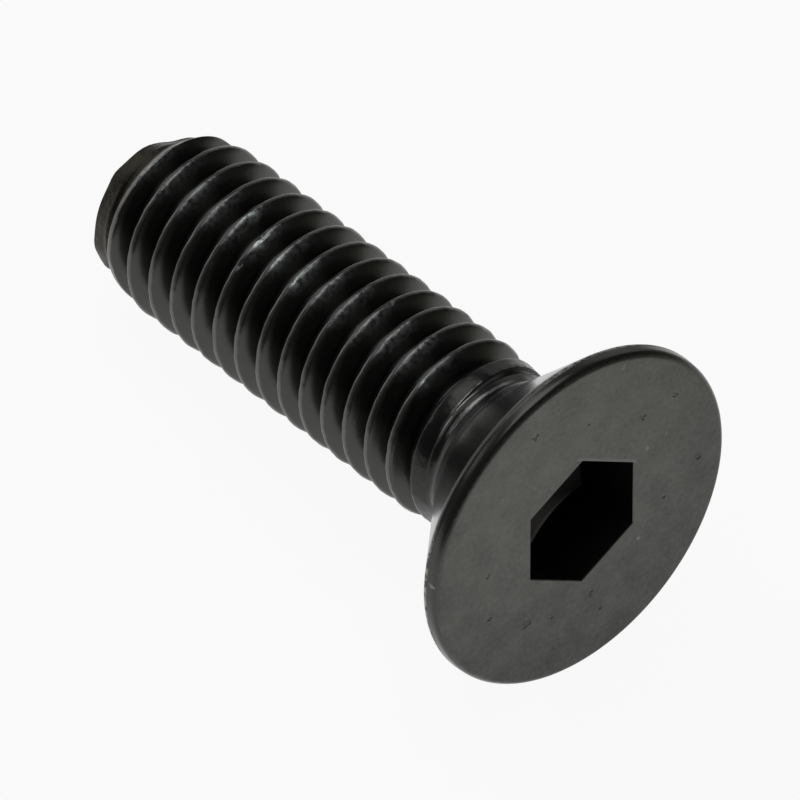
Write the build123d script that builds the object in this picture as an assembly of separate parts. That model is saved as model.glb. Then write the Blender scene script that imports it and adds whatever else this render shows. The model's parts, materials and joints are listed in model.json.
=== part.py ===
from build123d import *

import os
from math import asin, atan, ceil, cos, floor, hypot, pi, radians, sin, tan

# A countersunk socket screw, nominally M6 x 20: one piece of alloy steel with a cold-forged head
# and hexagon socket and a rolled right-hand thread. Its length is a little under nominal, within
# the usual tolerance. Millimetres and degrees.
#
# The screw is built in its own frame, with the flat face of the head at z = 0, the shank along +Z
# and a corner of the socket on +X. At the end it is laid on its side, as it rests on a table.

# overall
length = 19.75  # from the flat face of the head to the tip

# head
head_diameter = 11.49
head_land = 0.51  # height of the cylindrical land under the flat face
seat_angle = 90.0  # included angle of the conical seat
face_edge_bevel = 0.18  # bevel between the flat face and the land
heel_radius = 0.16  # rounding between the land and the seat

# neck, between the seat and the thread
neck_relief = 0.32  # how far the neck lies under the thread's crests
neck_fillet = 0.70  # rounding between the seat and the neck
neck_length = 0.30  # from the foot of the seat to where the crest of the thread starts to rise

# thread
thread_diameter = 5.84  # over the crests
thread_pitch = 1.0
thread_depth = 0.62 * thread_pitch  # from crest to root
flank_angle = 60.0  # between the two flanks of a groove
root_flat = 0.16  # width of the groove's floor
thread_phase = -30.1  # where the groove's centre line, drawn on, crosses the flat face
crest_rise = 1.40  # length over which the crest rises from the neck to its full height
groove_runout = 1.20  # length over which the groove sinks from the neck to its full depth

# tip
tip_chamfer = 1.25  # length of the cone between the crests and the flat end
tip_drop = 0.65  # how far the rim of the flat end lies under the crests

# hexagon socket
socket_across_flats = 4.09
socket_depth = 2.30  # at the hexagon's corners
socket_point_angle = 120.0  # included angle of the conical floor
socket_edge_break = 0.05  # bevel round the mouth

# how it lies
rest_roll = -52.05  # turn about the axis, from the socket's corner pointing straight up

head_radius = head_diameter / 2
thread_radius = thread_diameter / 2
neck_radius = thread_radius - neck_relief
root_radius = thread_radius - thread_depth
tip_radius = thread_radius - tip_drop
seat_foot = head_land + (head_radius - neck_radius) / tan(radians(seat_angle / 2))
crest_start = seat_foot + neck_length
crest_full = crest_start + crest_rise
chamfer_start = length - tip_chamfer


def turned(outline):
    """The solid that a flat outline, with radius along X and height along Y, makes about Z."""
    return revolve(Plane.XZ * outline, Axis.Z)


def flat(*points):
    """The face inside an outline of (radius, height) points."""
    return make_face(Polyline(*points, close=True))


def corner(outline, radius, height):
    """The corner of a flat outline that lies nearest to a radius and a height."""
    return outline.vertices().sort_by(lambda v: abs(v.X - radius) + abs(v.Y - height))[0]


def head():
    """The flat face, the land, the conical seat and the neck, down to where the thread starts."""
    outline = flat(
        (0, 0),
        (head_radius, 0),
        (head_radius, head_land),
        (neck_radius, seat_foot),
        (neck_radius, crest_start),
        (0, crest_start),
    )
    outline = fillet(corner(outline, neck_radius, seat_foot), neck_fillet)
    outline = fillet(corner(outline, head_radius, head_land), heel_radius)
    return turned(chamfer(corner(outline, head_radius, 0), face_edge_bevel))


def groove():
    """The thread's groove as a solid: it runs in from beyond the tip and out of the metal at
    the neck. Four rails, one for each corner of its section, carry ruled faces, a turn each."""
    stands_out = 0.06  # how far the solid reaches past the crests and past the neck
    turns_past_tip = 0.5
    points_per_turn = 16
    shallow = neck_radius + stands_out / 3  # radius of the floor where it has left the metal
    depth = thread_radius + stands_out - root_radius
    half_floor = root_flat / 2
    half_mouth = half_floor + depth * tan(radians(flank_angle / 2))
    first = crest_start + half_floor
    last = length + turns_past_tip * thread_pitch
    steps = ceil((last - first) / thread_pitch * points_per_turn)
    shares = [i / steps for i in range(steps + 1)]

    def rail(out, along):
        points = []
        for share in shares:
            z = first + share * (last - first)
            sunk = min(1, (z - first) / groove_runout)
            sunk = sunk * sunk * (3 - 2 * sunk)
            radius = shallow + (root_radius - shallow) * sunk + out
            turn = radians(thread_phase) + 2 * pi * z / thread_pitch
            points.append((radius * cos(turn), radius * sin(turn), z + along))
        return Edge.make_spline(points, parameters=shares)

    rails = [
        rail(0, -half_floor),
        rail(0, half_floor),
        rail(depth, half_mouth),
        rail(depth, -half_mouth),
    ]
    pairs = list(zip(rails, rails[1:] + rails[:1]))
    turns = ceil((last - first) / thread_pitch)
    faces = []
    for turn in range(turns):
        span = turn / turns, (turn + 1) / turns
        faces += [Face.make_surface_from_curves(a.trim(*span), b.trim(*span)) for a, b in pairs]
    for end in (0, 1):
        faces.append(Face(Wire([Edge.make_line(a @ end, b @ end) for a, b in pairs])))
    return Solid(Shell(faces))


def threaded_shank():
    """A rod with the groove cut round it, then the rise of the crest at the neck and the cone
    at the tip. The rod reaches up into the head."""
    beyond = 1.0  # how far the cutting solids reach past the rod
    top = seat_foot / 2
    rod = Pos(0, 0, top) * Solid.make_cylinder(thread_radius, length - top) - groove()
    tip_slope = (thread_radius - tip_radius) / tip_chamfer
    tip_ring = turned(
        flat(
            (tip_radius - tip_slope * beyond, length + beyond),
            (thread_radius + tip_slope * beyond, chamfer_start - beyond),
            (thread_radius + 2 * beyond, length + beyond),
        )
    )
    rise_slope = (thread_radius - neck_radius) / crest_rise
    neck_ring = turned(
        flat(
            (neck_radius, top - beyond),
            (neck_radius, crest_start),
            (thread_radius + rise_slope * beyond, crest_full + beyond),
            (thread_radius + beyond, top - beyond),
        )
    )
    return rod - tip_ring - neck_ring


def socket():
    """The space inside the hexagon socket, with its conical floor and the bevel of its mouth."""
    above = 1.0  # how far the space is drawn on above the flat face, and out past its corners
    half_corner = radians(30)
    corner_radius = socket_across_flats / 2 / cos(half_corner)
    floor_slope = 1 / tan(radians(socket_point_angle / 2))
    floor_drop = corner_radius * floor_slope
    hexagon = RegularPolygon(corner_radius, 6)
    prism = Pos(0, 0, -above) * extrude(hexagon, above + socket_depth + floor_drop)
    pointed = turned(
        flat(
            (0, -above),
            (corner_radius + above, -above),
            (corner_radius + above, socket_depth - above * floor_slope),
            (0, socket_depth + floor_drop),
        )
    )
    mouth = RegularPolygon(corner_radius + socket_edge_break / cos(half_corner), 6)
    bevel = loft([mouth.faces()[0], Pos(0, 0, socket_edge_break) * hexagon.faces()[0]])
    return (prism & pointed) + bevel


def laid_down(screw):
    """The screw on its side. It touches the table at the heel of its head and at the last crest
    that has its full height on the underside, and the origin is under the middle of its box."""
    underside = 180 - rest_roll
    crest_below = thread_pitch * ((underside - thread_phase) / 360 + 0.5)
    whole_turns = floor((chamfer_start - crest_below) / thread_pitch)
    last_crest = crest_below + whole_turns * thread_pitch
    heel = head_land - heel_radius * tan(radians(seat_angle / 4))
    rise = head_radius - heel_radius - thread_radius
    run = last_crest - heel
    tilt = atan(rise / run) + asin(heel_radius / hypot(rise, run))
    table = Plane(
        origin=(0, 0, 0), x_dir=(-sin(tilt), 0, cos(tilt)), z_dir=(-cos(tilt), 0, -sin(tilt))
    )
    lying = table.location * Rot(0, 0, rest_roll) * screw
    box = lying.bounding_box()
    return Pos(-box.center().X, -box.center().Y, -box.min.Z) * lying


screw = laid_down(head() + threaded_shank() - socket())
screw.label = "countersunk_screw"
os.makedirs("parts", exist_ok=True)
export_step(screw, "parts/countersunk_screw.step")
print("volume", round(screw.volume, 2), "mm3, box", screw.bounding_box())
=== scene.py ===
# %% [markdown]
# # A countersunk socket screw in black oxide steel
# The finished part is one piece of metal. Its exact solid was made in CAD and is loaded here as
# a fixed frame, which says where the screw lies and how large it is. The screw that is shown is
# modelled again over that frame, with what the plain solid lacks: rounded and slightly torn
# crests, the soft run-out of the thread at the neck, and a surface that breaks up the light.

import json
from math import cos, pi, radians, sin, tan

import bpy
import numpy as np
from mathutils import Matrix, Vector, noise


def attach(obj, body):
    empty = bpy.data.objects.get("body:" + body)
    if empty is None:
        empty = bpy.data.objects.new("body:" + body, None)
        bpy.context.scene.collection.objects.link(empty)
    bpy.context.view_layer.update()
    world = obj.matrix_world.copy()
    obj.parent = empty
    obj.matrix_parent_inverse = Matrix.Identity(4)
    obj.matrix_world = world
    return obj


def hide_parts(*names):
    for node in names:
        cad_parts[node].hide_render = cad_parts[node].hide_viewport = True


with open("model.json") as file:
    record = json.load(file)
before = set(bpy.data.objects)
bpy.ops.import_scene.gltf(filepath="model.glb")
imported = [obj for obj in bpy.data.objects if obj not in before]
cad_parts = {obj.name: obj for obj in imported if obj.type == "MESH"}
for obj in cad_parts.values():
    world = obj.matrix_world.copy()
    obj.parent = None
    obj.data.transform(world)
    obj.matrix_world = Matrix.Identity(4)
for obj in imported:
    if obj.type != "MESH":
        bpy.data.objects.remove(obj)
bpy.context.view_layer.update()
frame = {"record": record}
bpy.ops.object.select_all(action="DESELECT")

# %% [markdown]
# ## Where the screw lies
# A turned part is easiest to model upright, with its axis on Z. So the screw is modelled in a
# frame of its own, in millimetres: the flat face of the head at z = 0, the tip towards +Z and a
# corner of the hexagon on +X. The record's mounts give the middle of the face and the axis, and
# these make the matrix that lays the finished screw down on the table.

# %% The matrix from the screw's own frame to the table
mm = 0.001  # the scene is in metres
mounts = {m["name"]: m for m in frame["record"]["mounts"]}
face_centre = Vector(mounts["head_face"]["pos_m"])
to_tip = -Vector(mounts["head_face"]["axis"])
length = (Vector(mounts["thread"]["pos_m"]) - face_centre).length / mm
corner_turn = radians(-52.05)  # how far the hexagon's corner is turned from straight up
upward = (Vector((0, 0, 1)) - to_tip * to_tip.z).normalized()
lay_down = (
    Matrix.Translation(face_centre)
    @ Matrix((upward, to_tip.cross(upward), to_tip)).transposed().to_4x4()
    @ Matrix.Rotation(corner_turn, 4, "Z")
    @ Matrix.Scale(mm, 4)
)
print("length", round(length, 3), "mm, axis towards the tip", [round(v, 4) for v in to_tip])

# %% [markdown]
# ## The profile of the thread
# A thread is one small shape wound round a rod. The shape is one pitch tall: half a groove, a
# flank, a crest, a flank and half a groove. It could be drawn as a curve, but an edge cut into
# pieces is quicker, and its vertices can be rounded with the bevel tool. The edge starts as the
# inner side of a plane whose other side is deleted. Four cuts make six vertices: the two ends
# stay in the middle of the groove, and the four between them become the corners.

# %% A helper for edit mode
def pick(test, kind="VERT"):
    """In edit mode, selects the vertices (or edges) whose place passes a test, and nothing else."""
    mesh = bpy.context.object
    bpy.ops.mesh.select_mode(type=kind)
    bpy.ops.mesh.select_all(action="DESELECT")
    bpy.ops.object.mode_set(mode="OBJECT")
    for vertex in mesh.data.vertices:
        vertex.select = kind == "VERT" and test(vertex.co)
    if kind == "EDGE":
        for edge in mesh.data.edges:
            edge.select = test(*(mesh.data.vertices[i].co for i in edge.vertices))
    bpy.ops.object.mode_set(mode="EDIT")


# %% The edge that becomes the profile
pitch = 1.0
crest_radius = 2.92
root_radius = 2.30
crest_width = 0.14
root_width = 0.13
groove_at = 30.1 / 360 * pitch  # height of a groove's middle over the +X side
profile_cuts = 4
bpy.ops.mesh.primitive_plane_add(
    size=pitch,
    location=(root_radius + pitch / 2, 0, groove_at + pitch / 2),
    rotation=(pi / 2, 0, 0),
)
thread = bpy.context.object
thread.name = "countersunk_screw_looks"
bpy.ops.object.transform_apply(location=True, rotation=True, scale=True)
bpy.ops.object.mode_set(mode="EDIT")
pick(lambda co: co.x > root_radius + pitch / 2)
bpy.ops.mesh.delete(type="VERT")
bpy.ops.mesh.select_all(action="SELECT")
bpy.ops.mesh.subdivide(number_cuts=profile_cuts)
bpy.ops.object.mode_set(mode="OBJECT")
print("profile starts as", len(thread.data.vertices), "vertices")

# %% Set the widths of the groove's floor and of the crest, and pull the crest out
middle = Vector((root_radius, 0, groove_at + pitch / 2))
spacing = pitch / (profile_cuts + 1)
widen = (pitch - root_width) / (3 * spacing)
narrow = crest_width / (spacing * widen)
bpy.ops.object.mode_set(mode="EDIT")
pick(lambda co: abs(co.z - middle.z) < 2 * spacing)
bpy.ops.transform.resize(value=(1, 1, widen), center_override=middle)
pick(lambda co: abs(co.z - middle.z) < spacing)
bpy.ops.transform.resize(value=(1, 1, narrow), center_override=middle)
bpy.ops.transform.translate(value=(crest_radius - root_radius, 0, 0))
bpy.ops.object.mode_set(mode="OBJECT")
print("groove's floor", root_width, "mm, crest", crest_width, "mm wide")

# %% Round the corners, most on the crest's side towards the head, and cut up the flanks
tip_side_bevel = 0.03
head_side_bevel = 0.12
root_bevel = 0.09
tiny = 0.01  # mm, less than any step of the profile
flank_least = 0.2  # mm, less than a flank rises and more than a bevel does
flank_cuts = 4
bpy.ops.object.mode_set(mode="EDIT")
pick(lambda co: co.x > crest_radius - tiny and co.z > middle.z)
bpy.ops.mesh.bevel(offset=tip_side_bevel, segments=2, affect="VERTICES")
pick(lambda co: co.x > crest_radius - tiny and co.z < middle.z)
bpy.ops.mesh.bevel(offset=head_side_bevel, segments=5, affect="VERTICES")
pick(lambda co: co.x < root_radius + tiny and abs(co.z - middle.z) < pitch / 2 - tiny)
bpy.ops.mesh.bevel(offset=root_bevel, segments=3, affect="VERTICES")
pick(lambda a, b: abs(a.x - b.x) > flank_least, kind="EDGE")
bpy.ops.mesh.subdivide(number_cuts=flank_cuts)
bpy.ops.object.mode_set(mode="OBJECT")
print("profile:", [(round(v.co.x, 3), round(v.co.z - middle.z, 3)) for v in sorted(
    thread.data.vertices, key=lambda v: v.co.z)])

# %% [markdown]
# ## Winding the thread
# A profile swept along a helix tilts with the curve. The Screw modifier keeps it upright: it
# turns the profile round Z and lifts it by one pitch each turn. The end of one turn meets the
# start of the next, so merging the vertices closes the surface into one skin. A positive lift
# makes a right-hand thread. It starts before the neck's end and runs past the tip, and both
# ends are trimmed later.

# %% The Screw modifier, applied
steps_per_turn = 180
first_turn = 2
turns = int(length / pitch - first_turn + 2)  # two more than it takes to reach the tip
bpy.ops.object.mode_set(mode="EDIT")
bpy.ops.mesh.select_all(action="SELECT")
bpy.ops.transform.translate(value=(0, 0, first_turn * pitch))
bpy.ops.object.mode_set(mode="OBJECT")
bpy.ops.object.modifier_add(type="SCREW")
wind = thread.modifiers[-1]
wind.axis = "Z"
wind.angle = 2 * pi
wind.screw_offset = pitch
wind.iterations = turns
wind.steps = wind.render_steps = steps_per_turn
wind.use_merge_vertices = True
wind.merge_threshold = 0.001
bpy.ops.object.modifier_apply(modifier=wind.name)
bpy.ops.object.mode_set(mode="EDIT")
bpy.ops.mesh.select_all(action="SELECT")
bpy.ops.mesh.remove_doubles(threshold=0.002)
bpy.ops.object.mode_set(mode="OBJECT")
print("wound thread:", turns, "turns,", len(thread.data.polygons), "faces")

# %% [markdown]
# ## Run-out and tip
# On a rolled thread the groove gets shallow and narrow at the neck, and its crest, which is the
# metal that is left between two grooves, gets wide there. At the tip the crests fade into a cone.
# Each is a rule about height, so the vertices are moved by formulas, which is more even than any
# brush. The groove keeps its slopes while it fades: a vertex on a flank moves in towards the
# middle of the groove by the same share as its depth.

# %% Read and write a mesh as an array, and a smooth step
def places(piece):
    """The places of a mesh's vertices, as an array with three columns."""
    flat = np.empty(3 * len(piece.data.vertices), np.float32)
    piece.data.vertices.foreach_get("co", flat)
    return flat.reshape(-1, 3).astype(float)


def put(piece, points):
    """Writes the places of a mesh's vertices."""
    piece.data.vertices.foreach_set("co", points.astype(np.float32).ravel())
    piece.data.update()


def rise(value, low, high):
    """0 up to low, 1 from high on, and smooth between them."""
    share = np.clip((value - low) / (high - low), 0, 1)
    return share * share * (3 - 2 * share)


points = places(thread)
print("thread:", len(points), "vertices, up to z =", round(points[:, 2].max(), 2), "mm")

# %% Where each vertex of the thread is on its profile
turn = np.arctan2(points[:, 1], points[:, 0])
height = points[:, 2]
part_out = np.hypot(points[:, 0], points[:, 1]) - root_radius
part_out /= crest_radius - root_radius  # 0 in the root, 1 on the crest
groove = np.round((height - groove_at) / pitch - turn / (2 * pi)) + turn / (2 * pi)
groove = groove_at + groove * pitch  # height of the middle of the nearest groove
aside = height - groove
print("from", round(aside.min(), 3), "to", round(aside.max(), 3), "mm beside a groove's middle")

# %% How the crest rises from the neck: pairs of height and radius
neck_radius = 2.60
bite_turn = radians(30)  # the dies leave steps where they first bite, on this side of the neck
bite_reach = (0.55, 0.85)  # cosines of how far round from there the steps fade out, and are full
step_climb = 0.12  # mm that the steps climb in one turn, as the thread does
smooth_rise = [
    (3.90, 2.60), (4.20, 2.66), (4.36, 2.755), (4.90, 2.80), (5.40, 2.898), (5.90, 2.92),
]
stepped_rise = [
    (3.96, 2.60), (4.04, 2.64), (4.10, 2.645), (4.19, 2.635), (4.23, 2.64), (4.36, 2.76),
    (4.90, 2.785), (5.40, 2.898), (5.90, 2.92),
]


def crest_at(height, turn):
    """The radius of the crest at a height, and at a turn round the screw."""
    bite = rise(np.cos(turn - bite_turn), *bite_reach)
    lean = step_climb * (turn - bite_turn) / (2 * pi)
    even = np.interp(height, *zip(*smooth_rise))
    stepped = np.interp(height - lean * bite, *zip(*stepped_rise))
    return even + bite * (stepped - even)


print("crest at 4.2 mm:", round(float(crest_at(4.2, bite_turn)), 3), "mm where the dies bite,",
      round(float(crest_at(4.2, bite_turn + pi)), 3), "mm behind")

# %% Fade the groove in at the neck
fade_in = (4.05, 5.15)  # heights at which the groove begins, and has its full depth
depth = (crest_radius - root_radius) * rise(groove, *fade_in)
slim = depth / (crest_radius - root_radius)
half_floor = root_width / 2
half_mouth = (pitch - crest_width) / 2
across = np.abs(aside)
on_flank = half_floor + (across - half_floor) * slim
new_mouth = half_floor + (half_mouth - half_floor) * slim
spread = (pitch / 2 - new_mouth) / (pitch / 2 - half_mouth)
on_crest = pitch / 2 - (pitch / 2 - across) * spread
across = np.where(across < half_floor, across, np.where(across < half_mouth, on_flank, on_crest))
height = groove + np.sign(aside) * across
radius = crest_at(height, turn) - (1 - part_out) * depth
print("grooves at most", round(depth.max(), 3), "mm deep")

# %% Squeeze the tip to a short nub that is not quite round
tip_cap = [  # pairs of height and radius, the most that the thread may stand out
    (17.4, 2.95), (18.0, 2.90), (18.45, 2.86), (18.66, 2.82), (18.9, 2.60), (19.12, 2.42),
    (19.3, 2.36), (19.7, 2.32), (20.5, 2.30),
]
# Bumps and a flat on the nub, and a low side of the last crest: degrees round, mm, degrees wide.
nub_lumps = [(80, -0.29, 22), (20, 0.09, 8), (-45, 0.10, 12), (-70, 0.20, 14)]
crest_lumps = [(-58, -0.09, 30)]
nub_grows = (19.1, 19.75)
low_from, low_until = (17.6, 18.1), (18.9, 19.2)
soft = 0.05  # rounding where the crests run into the cap
around = np.degrees(turn)
nub, low_side = (
    sum(high * np.exp(-(((around - at) / wide) ** 2)) for at, high, wide in lumps)
    for lumps in (nub_lumps, crest_lumps)
)
cap = np.interp(height, *zip(*tip_cap)) + nub * rise(height, *nub_grows)
cap += low_side * (rise(height, *low_from) - rise(height, *low_until))
radius = 0.5 * (radius + cap - np.sqrt((radius - cap) ** 2 + soft**2))
points = np.column_stack((radius * np.cos(turn), radius * np.sin(turn), height))
put(thread, points)
print("thread reaches", round(radius.max(), 3), "mm from its axis")

# %% [markdown]
# ## Knocks on the crests
# Screws are poured in bulk, so their crests pick up small dents, and a rolled crest is never quite
# even. Both are far smaller than the thread. They could be sculpted, but a list of places and
# Blender's own noise move the vertices of the crests alone, and give the same screw each time.

# %% Uneven crests, and a few dents
neck_end = 3.88  # where the plain neck meets the first trace of the thread
knocks = [  # degrees round, mm along, mm wide, mm deep
    (44, 13.70, 0.14, 0.07), (22, 13.56, 0.13, 0.06), (77, 13.6, 0.10, 0.04),
    (60, 8.7, 0.12, 0.04), (11, 14.45, 0.09, 0.04), (108, 6.6, 0.16, 0.08),
]
swells = ((0.012, 3.0), (0.006, 9.0))  # mm high, and how many to the millimetre
sway, sways_per_mm = 0.02, 4.0  # mm that a crest wanders along the screw
elsewhere = Vector((7, 0, 0))  # another place in the noise, so that sway and swell differ
pushed = 0.5  # how much of a dent's depth moves the metal towards the tip
near_crest = 0.93  # of the way out from the root
dent = np.zeros(len(points))
for at, z, wide, deep in knocks:
    away = np.hypot((np.degrees(turn) - at) * radians(1) * crest_radius, height - z)
    dent += deep * np.exp(-((away / wide) ** 2))
crests = np.nonzero((part_out > near_crest) & (height > neck_end))[0]
for i in crests:
    spot = Vector(points[i])
    swell = sum(high * noise.noise(spot * often) for high, often in swells)
    wander = sway * noise.noise(spot * sways_per_mm + elsewhere)
    points[i, :2] *= 1 + (swell - dent[i]) / crest_radius
    points[i, 2] += wander + pushed * dent[i]
put(thread, points)
print("crest vertices moved:", len(crests))

# %% [markdown]
# ## Closing the tip
# The tip is cropped flat when the blank is cut, and it dishes a little when the thread is rolled.
# Bisect cuts both ends of the wound thread. The end at the neck stays open for the head. The cut
# at the tip is filled with a face, which is extruded in place and scaled down in a few rings
# that sink, and the last ring is merged to a point. Rings shade better than one large face.

# %% Trim both ends
bpy.ops.object.mode_set(mode="EDIT")
bpy.ops.mesh.select_all(action="SELECT")
bpy.ops.mesh.bisect(plane_co=(0, 0, neck_end), plane_no=(0, 0, 1), clear_inner=True)
bpy.ops.mesh.select_all(action="SELECT")
bpy.ops.mesh.bisect(plane_co=(0, 0, length), plane_no=(0, 0, 1), clear_outer=True, use_fill=True)
print("trimmed from", neck_end, "to", round(length, 2), "mm, still in edit mode")


# %% Sink rings into the tip
def ring(scale, lift):
    """Extrudes what is selected, and sets the size and the height of the new loop."""
    bpy.ops.mesh.extrude_region_move()
    bpy.ops.transform.resize(value=(scale, scale, 1), center_override=(0, 0, 0))
    bpy.ops.transform.translate(value=(0, 0, lift))


dish = ((0.985, 0.0), (0.93, -0.03), (0.7, -0.05), (0.4, -0.02), (0.4, 0.0))  # scale, lift in mm
for scale, lift in dish:
    ring(scale, lift)
bpy.ops.mesh.merge(type="CENTER")
bpy.ops.object.mode_set(mode="OBJECT")
print("trimmed thread:", len(thread.data.polygons), "faces")

# %% [markdown]
# ## The head
# The head is turned round the axis, but its socket is a hexagon. It could be a turned disc with a
# hexagon cut out by a boolean, but that leaves long thin faces that shade badly. Here it starts
# as the hexagon of the socket's mouth, with each side cut into many edges. Its loop is extruded
# outwards and made round for the face, and again inwards for the socket, so both share the same
# edges.

# %% The mouth of the socket
across_flats = 4.10
corner_radius = across_flats / 2 / cos(pi / 6)
side_cuts = 31
bpy.ops.object.select_all(action="DESELECT")
bpy.ops.mesh.primitive_circle_add(vertices=6, radius=corner_radius, rotation=(0, 0, pi / 2))
head = bpy.context.object
bpy.ops.object.transform_apply(location=True, rotation=True, scale=True)
bpy.ops.object.mode_set(mode="EDIT")
bpy.ops.mesh.select_all(action="SELECT")
bpy.ops.mesh.subdivide(number_cuts=side_cuts)
bpy.ops.object.mode_set(mode="OBJECT")
print("mouth:", len(head.data.vertices), "vertices, first corner at",
      [round(v, 3) for v in head.data.vertices[0].co])

# %% The outline of the face and its land: pairs of radius and height
def swing(centre, size, start, stop, count):
    """Points (radius, height) on an arc, angles in degrees from straight out, towards the tip."""
    angles = [radians(start + (stop - start) * i / count) for i in range(count + 1)]
    return [(centre[0] + size * cos(a), centre[1] + size * sin(a)) for a in angles]


face_from, face_to, face_rings = 2.75, 5.50, 17
seat_angle = 90.0  # between the two sides of the seat's cone
outline = [(r, 0.0) for r in np.linspace(face_from, face_to, face_rings)]
outline += [
    (5.54, 0.002), (5.575, 0.010), (5.61, 0.028), (5.642, 0.052), (5.672, 0.080), (5.698, 0.112),
    (5.718, 0.150), (5.730, 0.20), (5.737, 0.27), (5.742, 0.35), (5.745, 0.44),
]
outline += swing((5.603, 0.452), 0.142, 0, seat_angle / 2, 5)  # the heel, rounded
print("face and land:", len(outline), "rings, widest", round(max(r for r, z in outline), 3), "mm")

# %% The outline of the cone and the neck
seat_reach = 6.256  # radius at which the cone of the seat, drawn on, meets the flat face
fillet = 0.70
fillet_foot = seat_reach - neck_radius + fillet * tan(radians(seat_angle / 4))
hollow = [
    (neck_radius + fillet - fillet * cos(a), fillet_foot - fillet * sin(a))
    for a in np.radians(np.linspace(seat_angle / 2, 0, 10))
]
cone_rings = 14
heel, foot = outline[-1], hollow[0]
outline += [
    (heel[0] + (foot[0] - heel[0]) * i / cone_rings, heel[1] + (foot[1] - heel[1]) * i / cone_rings)
    for i in range(1, cone_rings)
]
bridge_gap = 0.03  # mm left between the neck's last ring and the thread, to be bridged
outline += [point for point in hollow if point[1] < neck_end - 2 * bridge_gap]
outline.append((neck_radius, neck_end - bridge_gap))
print("cone from", [round(v, 3) for v in heel], "to", [round(v, 3) for v in foot])

# %% Extrude the mouth outwards, make it round, and follow the outline
bpy.ops.object.mode_set(mode="EDIT")
bpy.ops.mesh.select_all(action="SELECT")
bpy.ops.mesh.extrude_region_move()
bpy.ops.transform.tosphere(value=1)
bpy.ops.object.mode_set(mode="OBJECT")
rounded = [v.co.xy.length for v in head.data.vertices if v.select]
now = max(rounded)
print("to a circle of radius", round(now, 3), "from", round(min(rounded), 3))
bpy.ops.object.mode_set(mode="EDIT")
first_scale = outline[0][0] / now
bpy.ops.transform.resize(value=(first_scale, first_scale, 1), center_override=(0, 0, 0))
for (r0, z0), (r1, z1) in zip(outline, outline[1:]):
    ring(r1 / r0, z1 - z0)
bpy.ops.object.mode_set(mode="OBJECT")
print("outside of the head:", len(head.data.polygons), "faces")

# %% [markdown]
# ## The socket
# The hexagon is punched cold, so its walls are straight and its corners sharp, and the punch
# leaves a conical floor. Where a flat wall meets a cone the line between them is a shallow arc.
# The walls are the mouth's loop again, extruded down in steps. The last ring is then dropped onto
# the cone point by point, which draws that arc, and the floor is scaled in from it.

# %% Inwards: the edge of the mouth and the walls
socket_depth = 2.30
floor_angle = 120.0
floor_drop = 1 / tan(radians(floor_angle / 2))  # how far the floor sinks for each mm inwards
mouth_break = 0.025
wall_rings = 12
nearly = 1e-4  # mm, two places this close are the same
bpy.ops.object.mode_set(mode="EDIT")
pick(lambda co: abs(co.z) < nearly and co.xy.length < corner_radius + nearly)
ring(1 - mouth_break / (across_flats / 2), mouth_break)
for i in range(wall_rings):
    ring(1.0, (socket_depth - mouth_break) / wall_rings)
bpy.ops.object.mode_set(mode="OBJECT")
inner = corner_radius * (1 - mouth_break / (across_flats / 2))
for vertex in head.data.vertices:
    if vertex.select:
        vertex.co.z += (inner - vertex.co.xy.length) * floor_drop
print("walls", round(inner, 3), "mm from the axis at their corners")

# %% The floor
bpy.ops.object.mode_set(mode="EDIT")
for scale in (0.97, 0.9, 0.85, 0.8, 0.75, 0.7, 0.6, 0.5):
    ring(scale, 0)
bpy.ops.mesh.merge(type="CENTER")
bpy.ops.object.mode_set(mode="OBJECT")
points = places(head)
radius = np.hypot(points[:, 0], points[:, 1])
floor = (points[:, 2] > socket_depth - nearly) & (radius < inner + nearly)
points[floor, 2] = socket_depth + (inner - radius[floor]) * floor_drop
print("socket", round(points[floor, 2].max(), 2), "mm deep in the middle")

# %% The punch stood a little off the axis
off_centre = (-0.082, -0.032)
fade_out = (2.5, 5.4)  # radii between which the face takes up the shift
inside = (radius < fade_out[0]) | (points[:, 2] < nearly)
points[inside, :2] += np.outer(1 - rise(radius[inside], *fade_out), off_centre)
put(head, points)
print("head:", len(head.data.polygons), "faces, socket moved", off_centre, "mm")

# %% [markdown]
# ## One piece of metal
# The head and the threaded shank are joined, the two open edges at the neck are bridged, and the
# normals are turned outwards. A boolean union could do it too, but both edges are plain circles,
# and a bridge adds one clean band of faces. A closed skin has no open edge left.

# %% Join, bridge and check
bpy.ops.object.select_all(action="DESELECT")
head.select_set(True)
thread.select_set(True)
bpy.context.view_layer.objects.active = thread
bpy.ops.object.join()
bpy.ops.object.mode_set(mode="EDIT")
bpy.ops.mesh.select_mode(type="EDGE")
bpy.ops.mesh.select_all(action="DESELECT")
bpy.ops.mesh.select_non_manifold(use_non_contiguous=False, use_verts=False)
bpy.ops.mesh.bridge_edge_loops()
bpy.ops.mesh.select_all(action="SELECT")
bpy.ops.mesh.remove_doubles(threshold=0.001)
bpy.ops.mesh.normals_make_consistent(inside=False)
bpy.ops.mesh.select_all(action="DESELECT")
bpy.ops.mesh.select_non_manifold()
bpy.ops.object.mode_set(mode="OBJECT")
open_edges = sum(edge.select for edge in thread.data.edges)
print("screw:", len(thread.data.polygons), "faces,", open_edges, "open edges")
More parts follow.
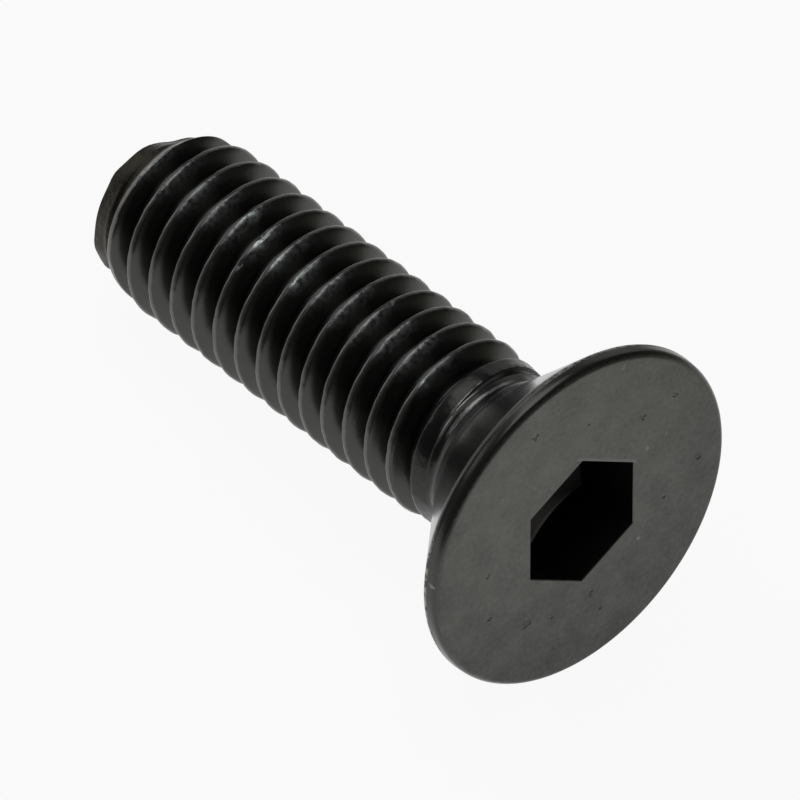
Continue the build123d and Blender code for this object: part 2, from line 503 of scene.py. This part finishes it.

# %% [markdown]
# ## Lying on the table
# The matrix from the start lays the screw down and turns millimetres into metres. It is applied
# to the mesh, so the object itself stays at the origin, as the CAD node's does. The round
# surfaces are shaded smooth. Only edges sharper than the angle stay crisp, such as the corners
# of the hexagon. Then the CAD node it stands for is hidden, and the piece is attached to the body
# that it rides on.

# %% Lay it down, smooth the shading, and stand in for the CAD node
crisp_from = radians(38)
thread.matrix_world = lay_down
bpy.context.view_layer.update()
bpy.ops.object.transform_apply(location=True, rotation=True, scale=True)
bpy.ops.object.shade_smooth_by_angle(angle=crisp_from)
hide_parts("countersunk_screw")
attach(thread, "root")
print("lies from", [round(min(v.co[i] for v in thread.data.vertices) / mm, 2) for i in range(3)],
      "to", [round(max(v.co[i] for v in thread.data.vertices) / mm, 2) for i in range(3)], "mm")

# %% [markdown]
# ## Black oxide
# Black oxide is a skin of magnetite a micrometre thick, grown on the steel in a hot salt bath and
# sealed with oil. Head on it returns about 7 percent of the light, and much more at a glance,
# so the eye sees a dark grey metal with soft, oily highlights. It could be painted by hand
# on an unwrapped mesh, but here everything is worked out from the place on the screw: that has
# no seams, and each number can be changed later. One function turns sRGB hex into linear
# colour, and one adds a node with its settings and links.

# %% Colours and nodes
def colour(code):
    """A colour written as sRGB hex, as the linear RGBA that Blender's sockets take."""
    channels = [int(code[i : i + 2], 16) / 255 for i in (1, 3, 5)]
    return [c / 12.92 if c <= 0.04045 else ((c + 0.055) / 1.055) ** 2.4 for c in channels] + [1.0]


def node(material, kind, settings=None, **inputs):
    """Adds a node, sets its properties, and sets or links its inputs by name.
    An input whose name is shared or empty is given by its number, such as _0."""
    made = material.node_tree.nodes.new(kind)
    for name, value in (settings or {}).items():
        setattr(made, name, value)
    for name, value in inputs.items():
        socket = made.inputs[int(name[1:]) if name[0] == "_" else name.replace("_", " ")]
        if isinstance(value, bpy.types.Node):
            value = value.outputs[0]
        if isinstance(value, bpy.types.NodeSocket):
            material.node_tree.links.new(value, socket)
        else:
            socket.default_value = value
    return made


smooth = {"interpolation_type": "SMOOTHSTEP"}
of_colour = {"data_type": "RGBA"}
add, subtract, multiply, multiply_add, maximum, less_than, absolute, dot, distance_to = (
    {"operation": name} for name in (
        "ADD", "SUBTRACT", "MULTIPLY", "MULTIPLY_ADD", "MAXIMUM", "LESS_THAN", "ABSOLUTE",
        "DOT_PRODUCT", "DISTANCE",
    )
)
print("mid grey #808080 is", round(colour("#808080")[0], 3), "in linear light")

# %% [markdown]
# ## Coordinates for the finish
# The finish changes from place to place: satin on the forged face, glossy on the rolled flanks,
# rubbed on the crests. Those places are easy to name in the screw's own frame, by radius and by
# height. Object coordinates are turned into that frame by one Mapping node of the kind TEXTURE,
# which undoes a placing, so the pattern stays on the metal wherever the screw goes. A place on
# the thread is told by how far it is beside the crest, along the screw: the helix is unwound by
# taking off the part of a pitch that it has climbed, and Wrap folds all turns into one.

# %% The screw's own frame, in millimetres, as nodes
oxide = bpy.data.materials.new("black oxide on forged and rolled steel")
oxide.use_nodes = True
shader = oxide.node_tree.nodes["Principled BSDF"]
own = node(
    oxide, "ShaderNodeMapping", {"vector_type": "TEXTURE"},
    Vector=node(oxide, "ShaderNodeTexCoord").outputs["Object"],
    Location=face_centre, Rotation=lay_down.to_euler(), Scale=(mm, mm, mm),
)
parts = node(oxide, "ShaderNodeSeparateXYZ", Vector=own)
along = parts.outputs["Z"]
flat_part = node(oxide, "ShaderNodeVectorMath", multiply, _0=own, _1=(1, 1, 0))
from_axis = node(oxide, "ShaderNodeVectorMath", {"operation": "LENGTH"}, _0=flat_part)
from_axis = from_axis.outputs["Value"]
turn_at = node(
    oxide, "ShaderNodeMath", {"operation": "ARCTAN2"}, _0=parts.outputs["Y"], _1=parts.outputs["X"]
)
print("frame:", len(oxide.node_tree.nodes), "nodes")

# %% How far beside the middle of a crest, along the screw
unwound = node(
    oxide, "ShaderNodeMath", multiply_add, _0=turn_at, _1=-pitch / (2 * pi), _2=along
)
beside = node(oxide, "ShaderNodeMath", subtract, _0=unwound, _1=groove_at + pitch / 2)
beside = node(
    oxide, "ShaderNodeMath", {"operation": "WRAP"}, _0=beside, _1=pitch / 2, _2=-pitch / 2
)
print("coordinates:", len(oxide.node_tree.nodes), "nodes")

# %% [markdown]
# ## Grain
# Three sizes of unevenness show on the real skin: cloudy patches of about 1.1 mm where the oil
# dried, a forged grain of about 0.17 mm, and a frosting of the bare spots. The real frosting is
# finer than the eye resolves, so it is drawn at 0.05 mm to show at all. Noise could come from an
# image, but that repeats and blurs up close. A noise texture whose scale is 1 has waves one unit
# wide, and the coordinates are in millimetres, so a scale is one divided by the real width.

# %% Noise at three scales
oil_patch = 10 / 9  # mm
forged_grain = 1 / 6  # mm
frosting = 1 / 20  # mm, coarser than the real one, which is too fine to show
cloud, grain, frost = (
    node(oxide, "ShaderNodeTexNoise", Vector=own, Scale=1 / width, Detail=2.0).outputs["Fac"]
    for width in (oil_patch, forged_grain, frosting)
)
print("noise widths, mm:", [round(width, 3) for width in (oil_patch, forged_grain, frosting)])

# %% [markdown]
# ## Masks by place
# A mask is 1 where a finish belongs and 0 elsewhere. Each is a Map Range of a radius, a height or
# a turn, from where it is 0 (From Min) to where it is 1 (From Max), in millimetres or radians.
# The product of two masks is 1 only where both are. Adding a little of the grain to a height
# before it is mapped tears the mask's edge, as real wear does.

# %% The face, the land round it, and the heel below
torn_by = 0.10  # mm
torn_edge = node(oxide, "ShaderNodeMath", multiply_add, _0=grain, _1=torn_by, _2=along)
on_face = node(
    oxide, "ShaderNodeMapRange", smooth, Value=torn_edge, From_Min=0.12, From_Max=0.08
)
on_land = node(oxide, "ShaderNodeMapRange", smooth, Value=from_axis, From_Min=5.45, From_Max=5.6)
heel_at = 0.52
off_heel = node(oxide, "ShaderNodeMath", subtract, _0=along, _1=heel_at)
off_heel = node(oxide, "ShaderNodeMath", absolute, _0=off_heel)
on_heel = node(oxide, "ShaderNodeMapRange", smooth, Value=off_heel, From_Min=0.16, From_Max=0.05)
on_heel = node(oxide, "ShaderNodeMath", multiply, _0=on_heel, _1=on_land)
print("face and heel masks:", len(oxide.node_tree.nodes), "nodes so far")

# %% Where the heel is knocked bare and lightened, partly as a painted highlight: all round but for one side, in specks
whole_side, bare_from, bare_full = radians(20), radians(22), radians(42)
off_whole = node(oxide, "ShaderNodeMath", subtract, _0=turn_at, _1=whole_side)
off_whole = node(oxide, "ShaderNodeMath", absolute, _0=off_whole)
speckle = node(oxide, "ShaderNodeMapRange", smooth, Value=grain, From_Min=0.38, From_Max=0.58)
bare_heel_and_sheen = node(
    oxide, "ShaderNodeMapRange", smooth, Value=off_whole, From_Min=bare_from, From_Max=bare_full
)
for mask in (speckle, on_heel):
    bare_heel_and_sheen = node(oxide, "ShaderNodeMath", multiply, _0=bare_heel_and_sheen, _1=mask)
print("heel: bare from", round(bare_from, 2), "radians off its whole side")

# %% The cone, the neck and the nub of the tip
neck_middle = 4.4
on_cone = node(oxide, "ShaderNodeMapRange", smooth, Value=along, From_Min=3.7, From_Max=3.4)
off_neck = node(oxide, "ShaderNodeMath", subtract, _0=along, _1=neck_middle)
off_neck = node(oxide, "ShaderNodeMath", absolute, _0=off_neck)
on_neck = node(oxide, "ShaderNodeMapRange", smooth, Value=off_neck, From_Min=0.8, From_Max=0.6)
on_nub = node(
    oxide, "ShaderNodeMapRange", smooth, Value=torn_edge, From_Min=18.78, From_Max=18.95
)
print("cone, neck and nub masks:", len(oxide.node_tree.nodes), "nodes so far")

# %% [markdown]
# ## Inside the socket
# On the floor of the socket a pool of light is painted bright near its lower walls, and its upper
# part is painted dark as shade. Under the upper edge of the mouth a thin bright lip is a painted
# highlight. The socket's masks stop above the neck, because the roots of the thread lie
# at the same radius further down.

# %% Where the socket and its conical floor are
in_socket = node(oxide, "ShaderNodeMath", less_than, _0=from_axis, _1=2.5)
above_neck = node(oxide, "ShaderNodeMath", less_than, _0=along, _1=3.7)
in_socket = node(oxide, "ShaderNodeMath", multiply, _0=in_socket, _1=above_neck)
floor_at = node(oxide, "ShaderNodeVectorMath", subtract, _0=flat_part, _1=(*off_centre, 0))
to_middle = node(oxide, "ShaderNodeVectorMath", {"operation": "LENGTH"}, _0=floor_at)
cone_at = node(
    oxide, "ShaderNodeMath", multiply_add, _0=to_middle.outputs["Value"], _1=floor_drop, _2=along
)
cone_rim = socket_depth + inner * floor_drop
blur_from, blur_to = 0.05, 0.02  # mm before the rim
on_floor = node(
    oxide, "ShaderNodeMapRange", smooth, Value=cone_at,
    From_Min=cone_rim - blur_from, From_Max=cone_rim - blur_to,
)
on_floor = node(oxide, "ShaderNodeMath", multiply, _0=on_floor, _1=in_socket)
print("floor's rim", round(cone_rim, 3), "mm deep where the cone meets the axis of its walls")

# %% A painted pool of light on the lower part of the floor, and painted shade on its upper part
wall_side = radians(210)
to_wall = node(
    oxide, "ShaderNodeVectorMath", dot, _0=floor_at, _1=(cos(wall_side), sin(wall_side), 0)
).outputs["Value"]
in_bend = node(oxide, "ShaderNodeMapRange", smooth, Value=to_wall, From_Min=1.93, From_Max=2.0)
sideways = parts.outputs["Y"]
lower = node(oxide, "ShaderNodeMapRange", smooth, Value=sideways, From_Min=-0.2, From_Max=-1.9)
painted_shade_floor = node(oxide, "ShaderNodeMapRange", smooth, Value=sideways, From_Min=-1.0, From_Max=0.4)
painted_shade_floor = node(oxide, "ShaderNodeMath", multiply, _0=painted_shade_floor, _1=on_floor)
in_the_bend, elsewhere_low = 0.8, 0.5  # how bright the painted pool of light is, the first on top of the second
painted_light_floor = node(
    oxide, "ShaderNodeMath", multiply_add, _0=in_bend, _1=in_the_bend, _2=elsewhere_low
)
for mask in (lower, on_floor):
    painted_light_floor = node(oxide, "ShaderNodeMath", multiply, _0=painted_light_floor, _1=mask)
print("floor masks:", len(oxide.node_tree.nodes), "nodes so far")

# %% A painted highlight: the thin bright lip under the upper edge
painted_highlight_lip = node(oxide, "ShaderNodeMapRange", smooth, Value=sideways, From_Min=2.14, From_Max=2.06)
lip_foot = node(oxide, "ShaderNodeMapRange", smooth, Value=sideways, From_Min=1.98, From_Max=2.01)
inside_lip = node(oxide, "ShaderNodeMath", less_than, _0=from_axis, _1=2.46)
for mask in (lip_foot, inside_lip, in_socket):
    painted_highlight_lip = node(oxide, "ShaderNodeMath", multiply, _0=painted_highlight_lip, _1=mask)
print("socket masks:", len(oxide.node_tree.nodes), "nodes so far")

# %% [markdown]
# ## Wear on the thread, with painted highlights
# Screws rub against each other crest to crest. All round, the tops of the crests are polished a
# little, and their lighter colour is also a painted highlight along the crests. On one side, where
# the light falls, a wider band beside each crest, towards the head, is rubbed through to frosted
# bare steel, in patches; its pale colour and its brightest spots are partly painted highlight. The
# band follows the helix, so it is a mask of the place beside the crest, times a mask of the turn.

# %% The polished tops of the crests, which also carry a painted highlight
below_rim = node(oxide, "ShaderNodeMath", less_than, _0=from_axis, _1=3.2)
past_neck = node(oxide, "ShaderNodeMapRange", smooth, Value=along, From_Min=4.9, From_Max=5.1)
past_neck = node(oxide, "ShaderNodeMath", multiply, _0=past_neck, _1=below_rim)
crest_middle, torn_by = 0.05, 0.06  # mm
from_crest = node(oxide, "ShaderNodeMath", multiply_add, _0=grain, _1=torn_by, _2=beside)
from_crest = node(oxide, "ShaderNodeMath", subtract, _0=from_crest, _1=crest_middle)
from_crest = node(oxide, "ShaderNodeMath", absolute, _0=from_crest)
on_crest = node(
    oxide, "ShaderNodeMapRange", smooth, Value=from_crest, From_Min=0.10, From_Max=0.05
)
on_crest = node(oxide, "ShaderNodeMath", multiply, _0=on_crest, _1=past_neck)
print("crest mask:", len(oxide.node_tree.nodes), "nodes so far")

# %% The rubbed side, where the polish gives way to the rubbing
rubbed_turn = radians(44)
off_line = node(oxide, "ShaderNodeMath", subtract, _0=turn_at, _1=rubbed_turn)
off_line = node(oxide, "ShaderNodeMath", absolute, _0=off_line)
rub_side = node(
    oxide, "ShaderNodeMapRange", smooth, Value=off_line, From_Min=radians(26), From_Max=radians(5)
)
polish_lost = 0.9  # share of the polish that the rubbing takes away
less = node(oxide, "ShaderNodeMath", multiply_add, _0=rub_side, _1=-polish_lost, _2=1.0)
on_crest = node(oxide, "ShaderNodeMath", multiply, _0=on_crest, _1=less)
print("rubbed side at", round(rubbed_turn, 3), "radians")

# %% The rubbed band, torn by the grain and patchy like the oil, partly a painted highlight
rub_low = node(oxide, "ShaderNodeMapRange", smooth, Value=beside, From_Min=-0.32, From_Max=-0.09)
rub_high = node(oxide, "ShaderNodeMapRange", smooth, Value=beside, From_Min=0.03, From_Max=-0.03)
ragged = node(oxide, "ShaderNodeMapRange", smooth, Value=grain, From_Min=0.24, From_Max=0.74)
patchy = node(
    oxide, "ShaderNodeMapRange", smooth, Value=cloud,
    From_Min=0.40, From_Max=0.58, To_Min=0.55, To_Max=1.3,
)
rubbed_and_sheen = rub_side
for mask in (rub_low, rub_high, past_neck, ragged):
    rubbed_and_sheen = node(oxide, "ShaderNodeMath", multiply, _0=rubbed_and_sheen, _1=mask)
rubbed_and_sheen = node(oxide, "ShaderNodeMath", {**multiply, "use_clamp": True}, _0=rubbed_and_sheen, _1=patchy)
print("rubbed mask:", len(oxide.node_tree.nodes), "nodes so far")

# %% Where the band is worn through, in spots that are partly painted highlight: degrees round, mm along, mm wide
worn_spots = (
    (51, 14.7, 0.55), (36, 12.7, 0.60), (34, 11.6, 0.45), (40, 13.65, 0.35), (30, 5.75, 0.40),
)
sharpness = 0.3  # share of a spot's size within which it is fully worn
worn_through_and_glint = 0.0
for degrees_round, z, size in worn_spots:
    at = radians(degrees_round)
    place = (crest_radius * cos(at), crest_radius * sin(at), z)
    away = node(oxide, "ShaderNodeVectorMath", distance_to, _0=own, _1=place).outputs["Value"]
    spot = node(
        oxide, "ShaderNodeMapRange", smooth, Value=away, From_Min=size, From_Max=sharpness * size
    )
    worn_through_and_glint = node(oxide, "ShaderNodeMath", maximum, _0=worn_through_and_glint, _1=spot)
worn_through_and_glint = node(oxide, "ShaderNodeMath", multiply, _0=worn_through_and_glint, _1=rubbed_and_sheen)
print("worn spots:", len(worn_spots))

# %% [markdown]
# ## The roots and the neck
# The roots are painted darker than the flanks, as painted shade in the grooves. On the side where
# the dies bite first, two thin bright strips round the neck are painted highlights, and the fillet
# above them is painted dark as shade. Each strip is a narrow band of heights whose middle leans
# with the turn.

# %% The painted shade of the roots, the side of the bite and the painted shade of the fillet
painted_shade_roots = node(oxide, "ShaderNodeMapRange", smooth, Value=from_axis, From_Min=2.50, From_Max=2.36)
painted_shade_roots = node(oxide, "ShaderNodeMath", multiply, _0=painted_shade_roots, _1=past_neck)
bite_side = node(
    oxide, "ShaderNodeMapRange", smooth, Value=off_line, From_Min=radians(36), From_Max=radians(22)
)
fillet_at = 3.76
off_fillet = node(oxide, "ShaderNodeMath", subtract, _0=along, _1=fillet_at)
off_fillet = node(oxide, "ShaderNodeMath", absolute, _0=off_fillet)
painted_shade_fillet = node(
    oxide, "ShaderNodeMapRange", smooth, Value=off_fillet, From_Min=0.20, From_Max=0.08
)
painted_shade_fillet = node(oxide, "ShaderNodeMath", multiply, _0=painted_shade_fillet, _1=bite_side)
print("root and fillet masks:", len(oxide.node_tree.nodes), "nodes so far")

# %% The painted highlight strips: height of the middle, lean per radian, half the width
strip_shapes = ((3.94, 0.0, 0.055), (4.165, 0.13, 0.045))
torn_by, edge_blur = 0.06, 0.02  # mm
painted_highlight_strips = 0.0
for middle_at, lean, half in strip_shapes:
    strip_at = node(oxide, "ShaderNodeMath", multiply_add, _0=turn_at, _1=-lean, _2=along)
    strip_at = node(oxide, "ShaderNodeMath", multiply_add, _0=grain, _1=torn_by, _2=strip_at)
    strip_at = node(oxide, "ShaderNodeMath", subtract, _0=strip_at, _1=middle_at + torn_by / 2)
    strip_at = node(oxide, "ShaderNodeMath", absolute, _0=strip_at)
    strip = node(
        oxide, "ShaderNodeMapRange", smooth, Value=strip_at,
        From_Min=half + edge_blur, From_Max=half - edge_blur,
    )
    painted_highlight_strips = node(oxide, "ShaderNodeMath", maximum, _0=painted_highlight_strips, _1=strip)
painted_highlight_strips = node(oxide, "ShaderNodeMath", multiply, _0=painted_highlight_strips, _1=bite_side)
print("masks:", len(oxide.node_tree.nodes), "nodes")

# %% [markdown]
# ## Pits and specks
# The forged face keeps a few pits where scale was pressed in, and here and there the skin is
# chipped down to bare steel. Each is a small ball in the screw's own frame, and a mask is the
# nearest of them. A loop adds them, so a mark is one line in a list.

# %% Where the marks are: x, y, z and radius in mm
pits = [
    (3.68, 2.78, 0, 0.11), (-1.77, 4.32, 0, 0.10), (-0.76, 3.55, 0, 0.08), (-4.03, 2.31, 0, 0.11),
    (-1.88, -2.47, 0, 0.08), (-0.58, -3.32, 0, 0.07), (0.43, -3.54, 0, 0.16), (-3.3, 0.9, 0, 0.06),
    (2.2, -3.4, 0, 0.06), (1.6, 3.3, 0, 0.05), (-2.6, -3.0, 0, 0.06), (3.1, -2.0, 0, 0.05),
]
chips = [
    (1.1, 5.22, 0, 0.07), (-1.58, 2.47, 0, 0.06), (-2.15, 3.0, 0, 0.04), (3.92, 0.62, 0, 0.04),
    (-2.96, -0.56, 0, 0.05), (5.16, -2.47, 0.2, 0.07), (4.51, -3.28, 0.2, 0.07),
]
thread_chips = ((77.3, 13.6, 0.06), (11, 14.45, 0.06), (12.3, 18.24, 0.07), (36, 6.42, 0.07))
chipped_radius = 2.9
for degrees_round, z, size in thread_chips:
    at = radians(degrees_round)
    chips.append((chipped_radius * cos(at), chipped_radius * sin(at), z, size))
print(len(pits), "pits and", len(chips), "chips")

# %% The masks of the marks, with edges torn by the grain
torn_by = 0.3  # mm
edge_from, edge_to = 0.19, 0.12  # mm outside a mark's radius, since the grain brings them in
marks = []
for spots in (pits, chips):
    mask = 0.0
    for x, y, z, size in spots:
        away = node(oxide, "ShaderNodeVectorMath", distance_to, _0=own, _1=(x, y, z))
        away = node(
            oxide, "ShaderNodeMath", multiply_add, _0=grain, _1=torn_by, _2=away.outputs["Value"]
        )
        spot = node(
            oxide, "ShaderNodeMapRange", smooth, Value=away,
            From_Min=size + edge_from, From_Max=size + edge_to,
        )
        mask = node(oxide, "ShaderNodeMath", maximum, _0=mask, _1=spot)
    marks.append(mask)
pitted, chipped = marks
print("marks:", len(oxide.node_tree.nodes), "nodes so far")

# %% [markdown]
# ## Gloss
# The colour of the skin stays nearly neutral, and what tells the surfaces apart is their
# roughness. The cone and the flanks were pressed smooth by the dies and shine, the forged face is
# satin, and the rubbed bands, the heel and the nub are matt. Each pair in the list lays one
# surface over those before it. The skin is metallic but for a tenth, which is the oil on it.

# %% Roughness by place
rough = 0.25  # the flanks of the thread
for mask, roughness in (
    (on_cone, 0.18), (on_neck, 0.27), (on_land, 0.26), (on_heel, 0.45), (on_crest, 0.34),
    (on_nub, 0.45), (rubbed_and_sheen, 0.50), (in_socket, 0.30), (on_face, 0.42),
):
    rough = node(oxide, "ShaderNodeMix", Factor=mask, A=rough, B=roughness)
oxide.node_tree.links.new(rough.outputs[0], shader.inputs["Roughness"])
shader.inputs["Metallic"].default_value = 0.9
print("gloss:", len(oxide.node_tree.nodes), "nodes so far")

# %% [markdown]
# ## Colour
# In the shader the oxide is a metal whose base colour is the share of light that it returns. The
# face drifts from darker to lighter across its width and darkens outwards, both painted shade, and
# oil
# and grain mottle it. The other surfaces are laid over it one by one, as coats of paint would be:
# the masks decide where each coat goes, and the later one covers the earlier one.

# %% The tone of the face: a drift across it and a darkening outwards as painted shade, clouded and grained
# Painted shade: the drift and the outward darkening make parts of the face lighter and others
# darker by place.
painted_shade_drift = (0.038, 0.054, 0)  # per mm
painted_shade_outwards, cloud_share, grain_share, level = -0.03, 0.8, 0.6, 0.45
slope = node(oxide, "ShaderNodeVectorMath", dot, _0=own, _1=painted_shade_drift).outputs["Value"]
fade = node(oxide, "ShaderNodeMath", multiply_add, _0=from_axis, _1=painted_shade_outwards, _2=1.0)
tone = node(oxide, "ShaderNodeMath", add, _0=slope, _1=fade)
tone = node(oxide, "ShaderNodeMath", multiply_add, _0=cloud, _1=cloud_share, _2=tone)
tone = node(oxide, "ShaderNodeMath", multiply_add, _0=grain, _1=grain_share, _2=tone)
tone = node(oxide, "ShaderNodeMath", subtract, _0=tone, _1=level)
face_shade_and_mottle = node(oxide, "ShaderNodeMix", Factor=on_face, A=1.0, B=tone)
print("tone of the face:", len(oxide.node_tree.nodes), "nodes so far")

# %% The coats of colour
flanks, face = colour("#484846"), colour("#51524e")
skin = node(oxide, "ShaderNodeMix", of_colour, _0=on_face, _6=flanks, _7=face).outputs[2]
skin = node(oxide, "ShaderNodeVectorMath", {"operation": "SCALE"}, _0=skin, Scale=face_shade_and_mottle)
skin = skin.outputs[0]
pit_darkness = 0.25
pitted_part = node(oxide, "ShaderNodeMath", multiply, _0=pitted, _1=pit_darkness)
coats = (
    (on_neck, "#363635"),  # dark, oily
    (painted_shade_roots, "#343433"),  # painted shade in the roots
    (painted_shade_fillet, "#161616"),  # painted shade on the fillet
    (painted_highlight_strips, "#80807e"),  # painted highlight strips round the neck
    (bare_heel_and_sheen, "#a0a09c"),  # bare steel, dulled, and partly a painted highlight on the rounded heel
    (on_crest, "#62625f"),  # thin, polished oxide, lightened as a painted highlight
    (rubbed_and_sheen, "#9a9e9c"),  # frosted steel, partly a painted highlight
    (worn_through_and_glint, "#d6e0dc"),  # clean, cold bare steel, partly a painted highlight
    (on_nub, "#35322c"),  # darker and a little brown on the cropped end
    (painted_shade_floor, "#181818"),  # painted shade on the upper floor of the socket
    (painted_light_floor, "#b8b4ae"),  # painted pool of light on the lower floor of the socket
    (pitted_part, "#262625"),  # pressed-in scale
    (chipped, "#747472"),  # bare steel
    (painted_highlight_lip, "#6a6a68"),  # painted highlight on the lip of the mouth
)
for mask, code in coats:
    skin = node(oxide, "ShaderNodeMix", of_colour, _0=mask, _6=skin, _7=colour(code)).outputs[2]
oxide.node_tree.links.new(skin, shader.inputs["Base Color"])
print("coats of colour:", len(coats) + 2)

# %% [markdown]
# ## Relief
# The grain stands a few micrometres high, far less than a mesh can carry, so a Bump node tilts
# the shading instead. Its height is in millimetres, and it is highest where the steel is frosted
# or scaled. The pits sink in.

# %% Grain, frosting and pits as a relief
uneven = 0.002  # mm, the height of the grain on the flanks
for mask, grain_height in (
    (on_neck, 0.006), (rubbed_and_sheen, 0.015), (on_heel, 0.03), (on_nub, 0.03), (on_face, 0.008),
):
    uneven = node(oxide, "ShaderNodeMix", Factor=mask, A=uneven, B=grain_height)
frost_share, pit_depth = 0.05, 0.03
relief = node(oxide, "ShaderNodeMath", multiply, _0=grain, _1=uneven)
finer = node(oxide, "ShaderNodeMath", multiply, _0=frost, _1=uneven)
relief = node(oxide, "ShaderNodeMath", multiply_add, _0=finer, _1=frost_share, _2=relief)
relief = node(oxide, "ShaderNodeMath", multiply_add, _0=pitted, _1=-pit_depth, _2=relief)
bumps = node(oxide, "ShaderNodeBump", Strength=1.0, Distance=mm, Height=relief)
oxide.node_tree.links.new(bumps.outputs[0], shader.inputs["Normal"])
thread.data.materials.clear()
thread.data.materials.append(oxide)
print("black oxide:", len(oxide.node_tree.nodes), "nodes")

# %% [markdown]
# ## The table
# The screw lies on a matt white laminate, which reads as plain white to the camera and gives the
# metal something pale to mirror. More light would only burn the metal out, so the white comes
# from the Light Path node: camera, glossy and transmission rays see a glow of strength 1, and
# all other rays see a plain matt paint. A little of the paint is left in the mix, for the
# screw's shadow. For glossy rays the far part of the table is painted darker, as painted shade that
# only reflections see.

# %% A round table top
table_radius = 3.0
bpy.ops.object.select_all(action="DESELECT")
bpy.ops.mesh.primitive_circle_add(vertices=96, radius=table_radius, fill_type="NGON")
table = bpy.context.object
table.name = "table"
white = bpy.data.materials.new("white laminate table")
white.use_nodes = True
paint = white.node_tree.nodes["Principled BSDF"]
paint.inputs["Base Color"].default_value = colour("#e6e6e4")
paint.inputs["Roughness"].default_value = 0.8
paint.inputs["Specular IOR Level"].default_value = 0.0
print("table:", 2 * table_radius, "m across")

# %% Which rays see the glow, and how it darkens in reflections
path = node(white, "ShaderNodeLightPath")
seen = path.outputs["Is Camera Ray"]
for rays in ("Is Glossy Ray", "Is Transmission Ray"):
    seen = node(white, "ShaderNodeMath", maximum, _0=seen, _1=path.outputs[rays])
# Painted shade: the far side of the table is darkened, in reflections only.
away_from_screw = (0.5, 0.84, 0)
dark_from, dark_full = 0.010, 0.045  # metres along that direction
place = node(white, "ShaderNodeTexCoord").outputs["Object"]
reach = node(white, "ShaderNodeVectorMath", dot, _0=place, _1=away_from_screw).outputs["Value"]
painted_far_shade = node(
    white, "ShaderNodeMapRange", smooth, Value=reach, From_Min=dark_from, From_Max=dark_full
)
painted_far_shade = node(white, "ShaderNodeMath", multiply, _0=painted_far_shade, _1=path.outputs["Is Glossy Ray"])
print("reflections darken from", 1000 * dark_from, "to", 1000 * dark_full, "mm")

# %% The glow mixed with the paint
white_near, painted_shade_grey = colour("#ffffff"), colour("#60604e")
glow_share = 0.93  # the rest is paint, which takes the shadow
tone = node(white, "ShaderNodeMix", of_colour, _0=painted_far_shade, _6=white_near, _7=painted_shade_grey)
glow = node(white, "ShaderNodeEmission", Color=tone.outputs[2], Strength=1.0)
share = node(white, "ShaderNodeMath", multiply, _0=seen, _1=glow_share)
mix = node(white, "ShaderNodeMixShader", Fac=share, _1=paint.outputs[0], _2=glow.outputs[0])
surface = white.node_tree.nodes["Material Output"].inputs["Surface"]
white.node_tree.links.new(mix.outputs[0], surface)
table.data.materials.append(white)
print("white table:", len(white.node_tree.nodes), "nodes")

# %% [markdown]
# ## World and lamps
# Metal shows what stands round it, so the light comes from large soft boxes, which act as the
# walls of a studio. A bright one behind the tip lights the lower flanks, a dimmer one beside it
# fills the far side, and one overhead draws the highlights along the crests and the land. An
# image of a room could do it too, but a soft box can be moved until its reflection sits right.
# The world is a plain dim grey, so nothing that faces away from the lamps is quite black.

# %% The world
world = bpy.data.worlds.new("studio")
bpy.context.scene.world = world
world.use_nodes = True
background = world.node_tree.nodes["Background"]
background.inputs["Color"].default_value = colour("#808080")
background.inputs["Strength"].default_value = 0.36
print("world strength", round(background.inputs["Strength"].default_value, 2))

# %% Three soft boxes
def softbox(name, place, width, tall, strength):
    """A rectangular area lamp, sizes in metres, that faces the screw with a given brightness."""
    bpy.ops.object.light_add(type="AREA", location=place)
    lamp = bpy.context.object
    lamp.name = name
    lamp.rotation_euler = (-Vector(place)).to_track_quat("-Z", "Y").to_euler()
    lamp.data.shape = "RECTANGLE"
    lamp.data.size = width
    lamp.data.size_y = tall
    lamp.data.energy = strength * pi * width * tall
    print(name, "gives", round(lamp.data.energy, 2), "W")
    return lamp


softbox("white wall behind the tip", (-1.07, -0.24, 0.49), 1.35, 0.92, 1.1)
softbox("grey wall beside the tip", (-0.62, 0.95, 0.32), 0.9, 0.7, 0.45)
softbox("overhead", (-0.25, 0.13, 1.1), 0.7, 1.0, 1.5)

# %% [markdown]
# ## The camera
# A small part is best seen through a long lens from far away, so that parallel edges stay nearly
# parallel. The camera looks down at the face of the head from one side. Its three axes are worked
# out as vectors and become the columns of its rotation, which is surer than turning it by hand.

# %% The camera
azimuth, elevation = radians(48.72), radians(52.17)
distance = 0.6605
focal_length = 996.372  # mm
aim_left, aim_up = 0.0053938, 0.0035866  # metres from the middle of the face, as the camera sees
to_camera = Vector((sin(azimuth) * cos(elevation), -cos(azimuth) * cos(elevation), sin(elevation)))
right = Vector((0, 0, 1)).cross(to_camera).normalized()
up = to_camera.cross(right)
aim = face_centre - right * aim_left + up * aim_up
bpy.ops.object.camera_add(location=aim + to_camera * distance)
camera = bpy.context.object
camera.rotation_euler = Matrix((right, up, to_camera)).transposed().to_euler()
camera.data.sensor_width = 36
camera.data.lens = focal_length
camera.data.clip_start = 0.01
camera.data.clip_end = 20
bpy.context.scene.camera = camera
print("camera at", [round(v, 3) for v in camera.location], "m")

# %% [markdown]
# ## Plain colour and the end
# The Standard view shows a colour as it is written.

# %% Plain colour and the end
bpy.context.scene.view_settings.view_transform = "Standard"
